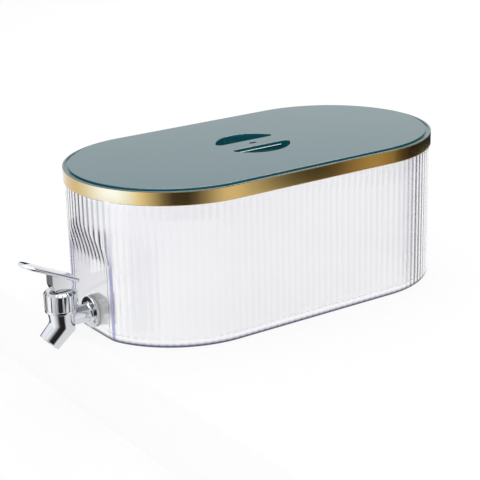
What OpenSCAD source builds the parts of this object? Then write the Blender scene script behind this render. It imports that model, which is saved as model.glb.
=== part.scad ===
// Cold-drink dispenser: a clear fluted tank with round ends, a lift-off lid with a gilt band,
// and a push-lever tap on a flat panel at one end.
// X runs along the tank with the tap at -X, Z is up, and the origin is the middle of the underside.

/* [Tank] */
// Length of the tank over the flutes
tank_l = 316; // [270:1:380]
// Width of the tank over the flutes
tank_w = 168; // [145:1:200]
// Height of the fluted wall, up to the shoulder under the lid
wall_h = 109.2; // [92:0.2:160]
// Thickness of the wall behind the flutes
wall_t = 3; // [2:0.1:3.6]
// Thickness of the floor
floor_t = 2.5; // [2:0.1:4]
// Distance from one flute to the next
flute_pitch = 5.7; // [4.5:0.1:9]
// Depth of the flutes
flute_d = 0.8; // [0.5:0.1:1.1]
// Height of the plain foot under the flutes
foot_h = 2; // [1:0.1:4]
// How far the foot stands in from the flutes
foot_inset = 1.4; // [1.2:0.1:2.4]
// Height of the neck above the shoulder
neck_h = 6.8; // [4:0.1:7.6]

/* [Tap panel] */
// How far the panel is set back from the end of the tank
panel_d = 6; // [4:0.1:10]
// Height of the flat part of the panel
panel_h = 58; // [45:0.5:75]
// Distance below the shoulder at which the wall starts to curve in
panel_drop = 7.2; // [4:0.1:14]

/* [Lid] */
// Height of the gilt band
band_h = 10.3; // [9.5:0.1:16]
// Thickness of the gilt band
band_t = 0.8; // [0.5:0.1:1.2]
// How far the band stands proud of the flutes
band_proud = 1; // [0.6:0.1:1.6]
// Thickness of the skirt that carries the band
skirt_t = 1.6; // [1.2:0.1:2.2]
// Thickness of the lid's top plate
lid_t = 2.8; // [2.2:0.1:3.4]
// Width of the ledge round the raised top
ledge_w = 4; // [3:0.1:7]
// Height of the ledge above the band
ledge_h = 0.4; // [0.2:0.1:0.8]
// Height of the raised top above the ledge
crown_h = 1; // [0.6:0.1:2]
// Height of the rib that plugs into the tank's mouth
rib_h = 9; // [6:0.1:14]
// Thickness of the rib
rib_t = 1.6; // [1.2:0.1:2.4]
// Radius of the finger dish
dish_r = 29.5; // [24:0.5:38]
// Depth of the finger dish
dish_d = 9; // [6:0.1:14]
// Wall thickness of the finger dish
dish_t = 2; // [1.5:0.1:2.6]
// Width of the grip bar across the dish
bar_w = 18; // [14:0.5:24]
// Length of the air vent in the grip bar
vent_l = 7; // [4:0.5:12]
// Width of the air vent
vent_w = 3; // [2:0.1:5]

/* [Tap fixing] */
// Diameter of the threaded shank
shank_d = 14; // [12:0.1:16]
// Bore of the shank
shank_bore_d = 7; // [6:0.1:9]
// Diameter of the tap's flange
flange_d = 24.4; // [20:0.1:28]
// Thickness of the flange
flange_t = 2; // [1.5:0.1:3]
// Diameter of the outer washer
outer_washer_d = 22.6; // [19:0.1:26]
// Thickness of the outer washer
outer_washer_t = 1.2; // [0.8:0.1:3]
// Diameter of the inner washer
inner_washer_d = 24.6; // [22:0.1:30]
// Thickness of the inner washer
inner_washer_t = 1.5; // [0.8:0.1:3]
// Gap between the inner washer and the tank's floor
washer_gap = 0.4; // [0.3:0.1:4]
// Width of the lock nut across its flats
nut_af = 22; // [19:0.1:24]
// Thickness of the lock nut
nut_t = 7; // [5:0.1:10]
// How far the shank runs past the lock nut
shank_past_nut = 2.5; // [1:0.1:6]

/* [Tap body] */
// Distance from the panel to the barrel's axis
tap_reach = 25.7; // [22:0.1:36]
// Diameter of the barrel under the collar
barrel_d = 21.4; // [19.8:0.1:23]
// Diameter of the tap at the knee
knee_d = 19.4; // [18.6:0.1:21]
// Bore of the barrel
barrel_bore_d = 12.8; // [12:0.1:13.6]
// Distance from the shank's axis down to the knee
knee_drop = 5.2; // [4.6:0.1:7]
// Clear height under the shank's bore to the valve seat
seat_drop = 0.6; // [0.3:0.1:1]
// Bore of the valve seat
seat_bore_d = 6.4; // [5:0.1:7]
// Distance from the shank's axis up to the collar
collar_rise = 7; // [7:0.1:12]
// Diameter of the barrel's threaded top
thread_d = 19.2; // [17:0.1:20]
// Height of the barrel's threaded top
thread_h = 11; // [9:0.1:14]
// Angle of the spout below level
spout_angle = 42; // [36:1:50]
// Length of the spout from the knee
spout_len = 16.5; // [14:0.1:24]
// Diameter of the spout at its mouth
spout_d = 17.3; // [16:0.1:19]
// Bore of the spout
spout_bore_d = 12.6; // [11:0.1:13.2]

/* [Tap collar] */
// Diameter of the screwed collar over its grips
collar_d = 25.2; // [24.4:0.1:29]
// Thickness of the collar's top
collar_top_t = 2.9; // [2:0.1:4]
// Chamfer round the collar's top
collar_chamfer = 1.8; // [1:0.1:2.2]
// Diameter of the lip under the grips
lip_d = 23.6; // [22.4:0.1:26]
// Height of the lip
lip_h = 1.4; // [0.8:0.1:2]
// Number of grip grooves
groove_n = 18; // [12:1:24]
// Width of the cutter that makes a grip groove
groove_w = 3; // [2:0.1:3.4]
// Depth of a grip groove
groove_d = 0.7; // [0.4:0.1:0.8]

/* [Valve] */
// Diameter of the valve stem
stem_d = 5; // [4.4:0.1:5.6]
// Thickness of the stem's flat tongue
tongue_t = 4; // [3:0.1:4.2]
// Diameter of the eye at the top of the stem
eye_d = 5; // [4.6:0.1:5.6]
// Diameter of the lever's pin
pin_d = 3; // [2:0.1:3.2]
// Height of the pin above the collar
pin_rise = 4; // [3.6:0.1:5]
// Thickness of the stem guide's flange
guide_t = 2.2; // [2.2:0.1:3.6]
// Height of the stem guide's plug
guide_h = 6; // [5:0.1:7]
// Thickness of the two sealing rings' cord
ring_t = 1.8; // [1.4:0.1:2]
// Diameter of the silicone cup on the valve seat
cup_d = 10; // [8.4:0.1:11.6]
// Height of the silicone cup
cup_h = 4.6; // [3.6:0.1:5.4]
// Thickness of the cup's floor
cup_floor = 1.6; // [1:0.1:2.4]
// Diameter of the stem's spring flange
spring_seat_d = 10.4; // [9.6:0.1:11.8]
// Thickness of the stem's spring flange
spring_seat_t = 2; // [1.2:0.1:2.6]
// Thickness of the spring's wire
wire_t = 0.8; // [0.6:0.1:0.9]
// Diameter of the spring to the middle of its wire
spring_d = 8.6; // [7.6:0.1:8.8]
// Number of turns in the spring
spring_turns = 5; // [3:0.5:6]

/* [Lever] */
// Width of the lever's blade
lever_w = 20; // [16:0.5:26]
// Thickness of the blade
lever_t = 2.6; // [2:0.1:4]
// Length of the blade in front of the pin
lever_front = 38; // [28:0.5:50]
// Length of the blade behind the pin
lever_back = 10.5; // [8.5:0.1:13]
// Slope of the blade at rest
lever_slope = 24.5; // [18:0.5:30]
// Height of the blade over the pin, square to the blade
lever_rise = 6.6; // [5:0.1:10]
// Thickness of the web under the blade
web_t = 10; // [8:0.1:12]
// Length of the web in front of the pin
web_front = 8.3; // [7.8:0.1:9]
// Length of the web behind the pin
web_back = 7.5; // [5.5:0.1:8.5]
// How far the cam lifts the stem for each radian of lever swing
cam_rise = 4; // [3:0.1:4.5]
// How far the lever swings down
lever_swing = 30; // [20:1:32]

/* [Hidden] */
$fn = 96;

// Gap between pieces that move apart, between pieces fixed together, and round a sliding shaft
slip = 0.3;
seat_gap = 0.05;
run_gap = 0.05;
// How far a cutter runs past the face that it cuts
past = 1;

// Tank
half_run = (tank_l - tank_w) / 2;
crest_r = tank_w / 2;
inner_r = crest_r - flute_d - wall_t;
side_reeds = round(2 * half_run / flute_pitch);
side_pitch = 2 * half_run / side_reeds;
end_reeds = round(PI * crest_r / flute_pitch);
end_pitch = PI * crest_r / end_reeds;
reed_r = (pow(max(side_pitch, end_pitch) / 2, 2) + pow(flute_d, 2)) / (2 * flute_d);
reed_backing = crest_r - flute_d - slip;
neck_z = wall_h + neck_h;

// Tap panel
panel_x = -tank_l / 2 + panel_d;
panel_top = wall_h - panel_drop;
panel_steps = 16;

// Lid
band_r = crest_r + band_proud;
skirt_r = band_r - band_t - seat_gap;
neck_r = skirt_r - skirt_t - slip;
skirt_z = wall_h + slip;
band_top = skirt_z + band_h;
ledge_z = band_top + ledge_h;
lid_top = ledge_z + crown_h;
lid_under = lid_top - lid_t;
rib_r = inner_r - slip;
dish_z = lid_top - dish_d;

// Tap
tap_z = floor_t + washer_gap + inner_washer_d / 2;
tap_x = panel_x - tap_reach;
flange_x = panel_x - outer_washer_t - flange_t;
panel_back = panel_x + wall_t;
nut_x = panel_back + inner_washer_t;
shank_end = nut_x + nut_t + shank_past_nut;
hole_clear = 0.2;
knee_z = tap_z - knee_drop;
seat_z = tap_z - shank_bore_d / 2 - seat_drop;
collar_z = tap_z + collar_rise;
thread_top = collar_z + thread_h;
guide_top = thread_top + guide_t;
collar_inside = guide_top + seat_gap;
collar_top = collar_inside + collar_top_t;
knee_run = 6;
knee_lap = 0.4;
spout_knee_d = knee_d - knee_lap;
spout_bore_start = 5.5;
seat_bore_depth = 8.6;

// Valve
pin_z = collar_top + pin_rise;
guide_z = thread_top - guide_h;
cup_z = seat_z + slip;
spring_seat_z = cup_z + cup_h + seat_gap;
spring_z = spring_seat_z + spring_seat_t + slip;
spring_top = guide_z - seat_gap;
ring_z = thread_top - guide_h / 2;
guide_plug_r = barrel_bore_d / 2 - run_gap;
rings_per_turn = 8;
wire_sides = 6;

// Lever
cam_h = pin_rise - slip;
tongue_half = max(stem_d, eye_d) / 2;
slot_front = cam_h * tan(lever_swing) + tongue_half / cos(lever_swing) + slip;
slot_back = tongue_half + 2 * slip;
cam_steps = 6;

// Stadium outline with round ends of radius r
module stadium(r) {
    square([2 * half_run, 2 * r], center = true);
    for (s = [-1, 1])
        translate([s * half_run, 0])
            circle(r = r);
}

// Stadium slab between two heights
module slab(r, z0, z1) {
    translate([0, 0, z0])
        linear_extrude(z1 - z0)
            stadium(r);
}

// Stadium ring between two radii and two heights
module ring(r_out, r_in, z0, z1) {
    difference() {
        slab(r_out, z0, z1);
        slab(r_in, z0 - past, z1 + past);
    }
}

// Rod along X between two places at the tap's height
module x_rod(d, x0, x1) {
    translate([x0, 0, tap_z])
        rotate([0, 90, 0])
            cylinder(d = d, h = x1 - x0);
}

// Flat washer on the tap's shank
module washer(d, x0, t) {
    difference() {
        x_rod(d, x0, x0 + t);
        x_rod(shank_d + 2 * seat_gap, x0 - past, x0 + t + past);
    }
}

// Sealing ring of round cord about the valve's axis
module cord_ring(r, z) {
    translate([tap_x, 0, z])
        rotate_extrude()
            translate([r, 0])
                circle(d = ring_t, $fn = 32);
}

// Cylinder on the valve's axis between two heights
module on_axis(d, z0, z1) {
    translate([tap_x, 0, z0])
        cylinder(d = d, h = z1 - z0);
}

// Outline of the fluted wall: touching reeds along both sides and round both ends
module fluted_outline() {
    stadium(reed_backing);
    for (s = [-1, 1], i = [0 : side_reeds - 1])
        translate([(i + 0.5) * side_pitch - half_run, s * (crest_r - reed_r)])
            circle(r = reed_r);
    for (turn = [0, 180], i = [0 : end_reeds - 1])
        rotate(turn)
            translate([half_run, 0])
                rotate((i + 0.5) * 180 / end_reeds - 90)
                    translate([crest_r - reed_r, 0])
                        circle(r = reed_r);
}

// Smooth step from 0 to 1
function ease(t) = t * t * (3 - 2 * t);

// Space in front of the tap panel: flat below, curving out to the end of the tank above
module panel_space() {
    outside = -tank_l / 2 - slip;
    rotate([90, 0, 0])
        linear_extrude(tank_w, center = true)
            polygon(concat(
                [[outside - tank_w, -past], [panel_x, -past]],
                [for (i = [0 : panel_steps])
                    let (t = i / panel_steps)
                    [panel_x + (outside - panel_x) * ease(t), panel_h + (panel_top - panel_h) * t]],
                [[outside - tank_w, panel_top]]));
}

// Clear moulded tank, open at the top
module tank_body() {
    color([0.88, 0.92, 0.96, 0.4])
        difference() {
            union() {
                slab(crest_r - foot_inset, 0, foot_h);
                translate([0, 0, foot_h])
                    linear_extrude(wall_h - foot_h)
                        fluted_outline();
                slab(neck_r, foot_h, neck_z);
            }
            panel_space();
            difference() {
                slab(inner_r, floor_t, neck_z + past);
                translate([wall_t, 0, 0])
                    panel_space();
            }
            x_rod(shank_d + 2 * hole_clear, panel_x - past, panel_back + past);
        }
}

// Half-round finger recess on one side of the grip bar, grown by its wall where asked
module recess(side, grow) {
    intersection() {
        circle(r = dish_r + grow);
        translate([-dish_r - grow, side > 0 ? bar_w / 2 - grow : -bar_w / 2 - dish_r])
            square([2 * (dish_r + grow), dish_r + grow]);
    }
}

// Lid with its raised top, skirt, plug rib and finger dish
module lid_shell() {
    color([0.05, 0.30, 0.32])
        difference() {
            union() {
                slab(skirt_r, lid_under, ledge_z);
                slab(band_r - ledge_w, lid_under, lid_top);
                ring(skirt_r, skirt_r - skirt_t, skirt_z, ledge_z);
                ring(rib_r, rib_r - rib_t, lid_under - rib_h, ledge_z);
                for (side = [-1, 1])
                    translate([0, 0, dish_z - dish_t])
                        linear_extrude(dish_d)
                            recess(side, dish_t);
            }
            for (side = [-1, 1])
                translate([0, 0, dish_z])
                    linear_extrude(dish_d + past)
                        recess(side, 0);
            translate([0, 0, lid_under - past])
                linear_extrude(lid_t + 2 * past) {
                    square([vent_l - vent_w, vent_w], center = true);
                    for (s = [-1, 1])
                        translate([s * (vent_l - vent_w) / 2, 0])
                            circle(d = vent_w);
                }
        }
}

// Gilt band bonded round the lid's skirt
module gilt_band() {
    color([0.80, 0.62, 0.25])
        ring(band_r, skirt_r + seat_gap, skirt_z, band_top);
}

// Soft seal under the lid, above the tank's neck
module lid_seal() {
    color([0.90, 0.91, 0.90])
        ring(neck_r, inner_r, neck_z + slip, lid_under);
}

// Half-space under the mitre of the knee, raised by lap
module under_mitre(lap) {
    reach = 4 * barrel_d;
    translate([tap_x, 0, knee_z])
        rotate([0, (90 - spout_angle) / 2, 0])
            translate([-reach, -reach, lap - 2 * reach])
                cube(2 * reach);
}

// Rod along the spout, measured from the knee
module on_spout(d0, d1, from, to) {
    translate([tap_x, 0, knee_z])
        rotate([0, -90 - spout_angle, 0])
            translate([0, 0, from])
                cylinder(d1 = d0, d2 = d1, h = to - from);
}

// Plated tap body: barrel, mitred spout, flange and threaded shank
module tap_body() {
    color([0.78, 0.79, 0.81])
        difference() {
            union() {
                difference() {
                    union() {
                        on_axis(knee_d, knee_z - knee_d, knee_z + knee_run);
                        translate([tap_x, 0, knee_z + knee_run])
                            cylinder(d1 = knee_d, d2 = barrel_d, h = collar_z - knee_z - knee_run);
                        on_axis(thread_d, collar_z - past, thread_top);
                    }
                    under_mitre(0);
                }
                intersection() {
                    union() {
                        on_spout(spout_knee_d, spout_knee_d, -knee_d, knee_run);
                        on_spout(spout_knee_d, spout_d, knee_run, spout_len);
                    }
                    under_mitre(knee_lap);
                }
                x_rod(shank_d, tap_x, shank_end);
                x_rod(flange_d, flange_x, flange_x + flange_t);
            }
            on_axis(barrel_bore_d, seat_z, thread_top + past);
            on_axis(seat_bore_d, seat_z - seat_bore_depth, seat_z + past);
            on_spout(spout_bore_d, spout_bore_d, spout_bore_start, spout_len + past);
            x_rod(shank_bore_d, tap_x, shank_end + past);
        }
}

// Soft washer between the flange and the panel
module outer_washer() {
    color([0.86, 0.87, 0.87])
        washer(outer_washer_d, panel_x - outer_washer_t, outer_washer_t);
}

// Soft washer inside the tank
module inner_washer() {
    color([0.86, 0.87, 0.87])
        washer(inner_washer_d, panel_back, inner_washer_t);
}

// Hexagonal nut that clamps the tap to the panel, a flat side down
module lock_nut() {
    color([0.92, 0.92, 0.91])
        difference() {
            translate([nut_x, 0, tap_z])
                rotate([0, 90, 0])
                    rotate([0, 0, 30])
                        cylinder(d = nut_af / cos(30), h = nut_t, $fn = 6);
            x_rod(shank_d + 2 * seat_gap, nut_x - past, nut_x + nut_t + past);
        }
}

// Screwed collar with grip grooves and a chamfered top
module tap_collar() {
    grip_z = collar_z + lip_h;
    chamfer_z = collar_top - collar_chamfer;
    color([0.80, 0.81, 0.83])
        difference() {
            union() {
                on_axis(lip_d, collar_z + seat_gap, grip_z);
                on_axis(collar_d, grip_z, chamfer_z);
                translate([tap_x, 0, chamfer_z])
                    cylinder(d1 = collar_d, d2 = collar_d - 2 * collar_chamfer, h = collar_chamfer);
            }
            for (i = [0 : groove_n - 1])
                translate([tap_x, 0, grip_z])
                    rotate((i + 0.5) * 360 / groove_n)
                        translate([(collar_d + groove_w) / 2 - groove_d, 0, 0])
                            cylinder(d = groove_w, h = collar_top - grip_z + past);
            on_axis(thread_d + 2 * seat_gap, collar_z - past, collar_inside);
            on_axis(stem_d + 2 * slip, collar_inside - past, collar_top + past);
        }
}

// Guide that closes the barrel, with a groove for its own ring and a pocket for the stem's ring
module stem_guide() {
    groove_r = guide_plug_r - ring_t;
    color([0.93, 0.93, 0.92])
        difference() {
            union() {
                on_axis(2 * guide_plug_r, guide_z, thread_top);
                on_axis(thread_d, thread_top, guide_top);
            }
            on_axis(stem_d + 2 * run_gap, guide_z - past, guide_top + past);
            on_axis(stem_d + 2 * ring_t + 4 * run_gap, guide_top - ring_t - run_gap, guide_top + past);
            difference() {
                on_axis(barrel_bore_d + past, ring_z - ring_t / 2 - run_gap, ring_z + ring_t / 2 + run_gap);
                on_axis(2 * groove_r, ring_z - ring_t, ring_z + ring_t);
            }
        }
}

// Sealing ring round the guide
module guide_ring() {
    color([0.15, 0.15, 0.16])
        cord_ring(guide_plug_r - ring_t / 2, ring_z);
}

// Sealing ring round the stem
module stem_ring() {
    color([0.15, 0.15, 0.16])
        cord_ring(stem_d / 2 + run_gap + ring_t / 2, guide_top - ring_t / 2);
}

// Valve stem: rod, spring flange, flat tongue and an eye for the lever's pin
module valve_stem() {
    tongue_z = guide_top + seat_gap;
    color([0.90, 0.90, 0.88])
        difference() {
            union() {
                on_axis(stem_d, cup_z + cup_floor + seat_gap, tongue_z);
                on_axis(spring_seat_d, spring_seat_z, spring_seat_z + spring_seat_t);
                intersection() {
                    on_axis(stem_d, tongue_z - past, pin_z);
                    translate([tap_x - stem_d, -tongue_t / 2, tongue_z - past])
                        cube([2 * stem_d, tongue_t, pin_z - tongue_z + past]);
                }
                translate([tap_x, tongue_t / 2, pin_z])
                    rotate([90, 0, 0])
                        cylinder(d = eye_d, h = tongue_t);
            }
            translate([tap_x, tongue_t, pin_z])
                rotate([90, 0, 0])
                    cylinder(d = pin_d + 2 * run_gap, h = 2 * tongue_t);
        }
}

// Soft cup that closes the valve seat
module seat_cup() {
    color([0.95, 0.95, 0.94])
        difference() {
            on_axis(cup_d, cup_z, cup_z + cup_h);
            on_axis(stem_d + 2 * run_gap, cup_z + cup_floor, cup_z + cup_h + past);
        }
}

// Closing spring: one wire wound as a helix
spring_pitch = (spring_top - spring_z - wire_t) / spring_turns;
spring_steps = round(rings_per_turn * spring_turns);
spring_path = [for (i = [0 : spring_steps])
    let (a = 360 * i / rings_per_turn)
    [spring_d / 2 * cos(a), spring_d / 2 * sin(a), spring_z + wire_t / 2 + spring_pitch * i / rings_per_turn]];
spring_gap = min([for (i = [0 : spring_steps], j = [i + rings_per_turn / 2 : 1 : spring_steps])
    norm(spring_path[i] - spring_path[j])]) - wire_t;
echo(least_gap_between_spring_turns = spring_gap);

module valve_spring() {
    points = [for (i = [0 : spring_steps], k = [0 : wire_sides - 1])
        let (a = 360 * i / rings_per_turn, b = 360 * k / wire_sides)
        spring_path[i] + wire_t / 2 * [cos(a) * cos(b), sin(a) * cos(b), sin(b)]];
    last = spring_steps * wire_sides;
    walls = [for (i = [0 : spring_steps - 1], k = [0 : wire_sides - 1])
        let (a = i * wire_sides, n = (k + 1) % wire_sides)
        each [[a + k, a + wire_sides + k, a + n], [a + n, a + wire_sides + k, a + wire_sides + n]]];
    ends = [for (k = [1 : wire_sides - 2])
        each [[0, k, k + 1], [last, last + k + 1, last + k]]];
    color([0.75, 0.76, 0.78])
        translate([tap_x, 0, 0])
            polyhedron(points, concat(walls, ends));
}

// Pin through the lever's fork and the stem's eye
module lever_pin() {
    pin_l = web_t - 2 * slip;
    color([0.70, 0.71, 0.73])
        translate([tap_x, pin_l / 2, pin_z])
            rotate([90, 0, 0])
                cylinder(d = pin_d, h = pin_l);
}

// Point of the cam, about the pin, that faces down when the lever has swung by a
function cam_point(a) =
    let (h = cam_h + cam_rise * a * PI / 180)
    [-h * sin(a) - cam_rise * cos(a), -h * cos(a) + cam_rise * sin(a)];

// Height over the pin of the middle of the blade
function blade_mid(x) = (lever_rise + lever_t / 2) / cos(lever_slope) - x * tan(lever_slope);

// Push lever: a blade on a forked web whose lower edge is the cam
module tap_lever() {
    nose_z = cam_h / 2;
    color([0.82, 0.83, 0.85])
        translate([tap_x, 0, pin_z])
            difference() {
                union() {
                    rotate([90, 0, 0])
                        linear_extrude(web_t, center = true)
                            polygon(concat(
                                [[web_back, -cam_h]],
                                [for (i = [0 : cam_steps]) cam_point(lever_swing * i / cam_steps)],
                                [[-web_front, nose_z], [-web_front, blade_mid(-web_front)],
                                 [web_back, blade_mid(web_back)]]));
                    rotate([0, lever_slope, 0])
                        translate([0, 0, lever_rise])
                            linear_extrude(lever_t) {
                                translate([lever_w / 2 - lever_front, 0])
                                    circle(d = lever_w);
                                translate([lever_w / 2 - lever_front, -lever_w / 2])
                                    square([lever_front + lever_back - lever_w / 2, lever_w]);
                            }
                }
                translate([-slot_front, -tongue_t / 2 - slip, -2 * cam_h])
                    cube([slot_front + slot_back, tongue_t + 2 * slip, 2 * cam_h + slot_back]);
                rotate([90, 0, 0])
                    cylinder(d = pin_d + 2 * run_gap, h = 2 * web_t, center = true);
            }
}

tank_body();
lid_shell();
gilt_band();
lid_seal();
tap_body();
outer_washer();
inner_washer();
lock_nut();
tap_collar();
stem_guide();
guide_ring();
stem_ring();
valve_stem();
seat_cup();
valve_spring();
lever_pin();
tap_lever();
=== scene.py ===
# Cold-drink dispenser: a clear fluted tank, a glossy lid with a gilt band, and a plated push-lever tap.
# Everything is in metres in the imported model's frame, with the tap at -X and the tank standing on z = 0.
import math

import bmesh
import bpy
from mathutils import Matrix, Vector


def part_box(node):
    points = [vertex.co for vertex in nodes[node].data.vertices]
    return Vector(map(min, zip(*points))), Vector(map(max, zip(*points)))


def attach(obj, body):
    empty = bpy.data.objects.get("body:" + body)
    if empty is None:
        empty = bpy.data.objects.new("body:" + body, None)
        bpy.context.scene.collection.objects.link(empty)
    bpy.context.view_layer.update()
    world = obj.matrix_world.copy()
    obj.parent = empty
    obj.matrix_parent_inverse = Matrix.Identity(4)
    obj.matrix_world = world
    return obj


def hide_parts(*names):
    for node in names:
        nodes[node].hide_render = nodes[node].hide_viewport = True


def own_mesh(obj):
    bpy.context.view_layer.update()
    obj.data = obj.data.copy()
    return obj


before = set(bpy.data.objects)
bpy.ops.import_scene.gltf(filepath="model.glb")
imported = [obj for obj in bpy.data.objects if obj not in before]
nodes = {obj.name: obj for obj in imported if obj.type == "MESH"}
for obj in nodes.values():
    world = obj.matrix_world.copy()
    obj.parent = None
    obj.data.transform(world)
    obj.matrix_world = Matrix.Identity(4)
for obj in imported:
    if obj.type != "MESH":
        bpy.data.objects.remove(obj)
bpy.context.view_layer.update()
scene = bpy.context.scene
scene.view_settings.view_transform = "Standard"
MM = 0.001


# Camera. A long lens stands to the front left of the tap's end, a little above the lid,
# and leans by a small roll. Its place was fitted to the edges of the tank and the lid.
AIM = Vector((-14.05, 0.66, 42.62)) * MM
VIEW_AZIMUTH = math.radians(-34.54)
VIEW_ELEVATION = math.radians(18.70)
VIEW_ROLL = math.radians(1.36)
VIEW_DISTANCE = 1141.9 * MM
LENS_PX = 1419.6
IMAGE_PX = 480

back = Vector((
    math.sin(VIEW_AZIMUTH) * math.cos(VIEW_ELEVATION),
    -math.cos(VIEW_AZIMUTH) * math.cos(VIEW_ELEVATION),
    math.sin(VIEW_ELEVATION),
))
right = Vector((math.cos(VIEW_AZIMUTH), math.sin(VIEW_AZIMUTH), 0))
up = back.cross(right)
camera = bpy.data.objects.new("camera", bpy.data.cameras.new("camera"))
camera.data.lens = camera.data.sensor_width * LENS_PX / IMAGE_PX
facing = Matrix((right, up, back)).transposed() @ Matrix.Rotation(-VIEW_ROLL, 3, "Z")
camera.matrix_world = Matrix.Translation(AIM + VIEW_DISTANCE * back) @ facing.to_4x4()
scene.collection.objects.link(camera)
scene.camera = camera


# Shelf and floor. A white shelf carries the tank and ends in front of the tap, whose spout hangs past
# its edge over a lower floor. Both look white to the camera and keep a faint shadow.
SHELF_EDGE_X = -168 * MM
SHELF_DROP = 60 * MM
FLOOR_HALF = 3.0
SHELF_ROUND = 4 * MM
SHELF_CREASE = math.radians(30)
WHITE_SHARE = 0.86
PAPER_WHITE = "#f2f2f2"


def linear(hex_colour):
    """sRGB hex as a linear colour with full alpha."""
    channels = [int(hex_colour[i:i + 2], 16) / 255 for i in (1, 3, 5)]
    return [c / 12.92 if c <= 0.04045 else ((c + 0.055) / 1.055) ** 2.4 for c in channels] + [1]


def node(tree, kind, sockets=None, **settings):
    """Add a node with its settings. Each socket takes a value, or the output of another node."""
    made = tree.nodes.new(kind)
    for name, value in settings.items():
        setattr(made, name, value)
    for key, value in (sockets or {}).items():
        if isinstance(value, bpy.types.NodeSocket):
            tree.links.new(value, made.inputs[key])
        else:
            made.inputs[key].default_value = value
    return made


def blank_material(name):
    """A material with an empty node tree, and that tree."""
    made = bpy.data.materials.new(name)
    made.use_nodes = True
    made.node_tree.nodes.clear()
    return made, made.node_tree


def seen_directly(tree):
    """1 for rays from the camera, off a gloss or through clear plastic, and 0 for light on the object."""
    path = node(tree, "ShaderNodeLightPath")
    shine = node(tree, "ShaderNodeMath", {
        0: path.outputs["Is Camera Ray"], 1: path.outputs["Is Glossy Ray"]}, operation="MAXIMUM")
    seen = node(tree, "ShaderNodeMath", {
        0: shine.outputs[0], 1: path.outputs["Is Transmission Ray"]}, operation="MAXIMUM")
    return seen.outputs[0]


def stage_object(name, bm, material):
    """Turn a bmesh into a part of the studio."""
    mesh = bpy.data.meshes.new(name)
    bm.to_mesh(mesh)
    bm.free()
    mesh.materials.append(material)
    made = bpy.data.objects.new(name, mesh)
    scene.collection.objects.link(made)
    return made


paper, tree = blank_material("white_paper_matt")
share = node(tree, "ShaderNodeMath", {0: seen_directly(tree), 1: WHITE_SHARE}, operation="MULTIPLY")
lit = node(tree, "ShaderNodeBsdfDiffuse", {"Color": linear(PAPER_WHITE)})
bright = node(tree, "ShaderNodeEmission", {"Color": linear("#ffffff"), "Strength": 1.0})
mixed = node(tree, "ShaderNodeMixShader", {0: share.outputs[0], 1: lit.outputs[0], 2: bright.outputs[0]})
node(tree, "ShaderNodeOutputMaterial", {"Surface": mixed.outputs[0]})

bm = bmesh.new()
bmesh.ops.create_cube(bm, size=1)
bmesh.ops.scale(bm, vec=(FLOOR_HALF, 2 * FLOOR_HALF, SHELF_DROP), verts=bm.verts)
bmesh.ops.translate(bm, vec=(SHELF_EDGE_X + FLOOR_HALF / 2, 0, -SHELF_DROP / 2), verts=bm.verts)
front_edges = [e for e in bm.edges if all(v.co.x < 0 and v.co.z > -SHELF_DROP / 2 for v in e.verts)]
bmesh.ops.bevel(bm, geom=front_edges, offset=SHELF_ROUND, affect="EDGES", segments=6, profile=0.5,
                material=-1)
shelf = stage_object("shelf", bm, paper)
shelf.data.shade_smooth()
shelf.data.set_sharp_from_angle(angle=SHELF_CREASE)

bm = bmesh.new()
bmesh.ops.create_grid(bm, x_segments=1, y_segments=1, size=FLOOR_HALF)
bmesh.ops.translate(bm, vec=(0, 0, -SHELF_DROP), verts=bm.verts)
stage_object("floor", bm, paper)


# Studio light. An even white room, a broad lamp above and softer ones at the front left and the back.
# Screens that only reflections see stand round the object and close to the tap, and give metal its dark,
# bright and tinted bands. A softbox overhead, seen in the same way, gives the lid its sheen.
ROOM_LIGHT = 0.55
LAMPS = (
    ("top_lamp", (0.1, 0.1, 1.5), 1.6, 13),
    ("front_lamp", (-1.0, -1.3, 0.9), 1.0, 11),
    ("back_lamp", (0.9, 1.1, 0.8), 1.0, 5),
)
TAP_SPOT = (-177.7 * MM, 0)
TAP_SCREEN_HALF = (80 * MM, 80 * MM)
TAP_SCREEN_TOP = 65 * MM
TAP_SCREEN_SLANT = 300
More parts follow.
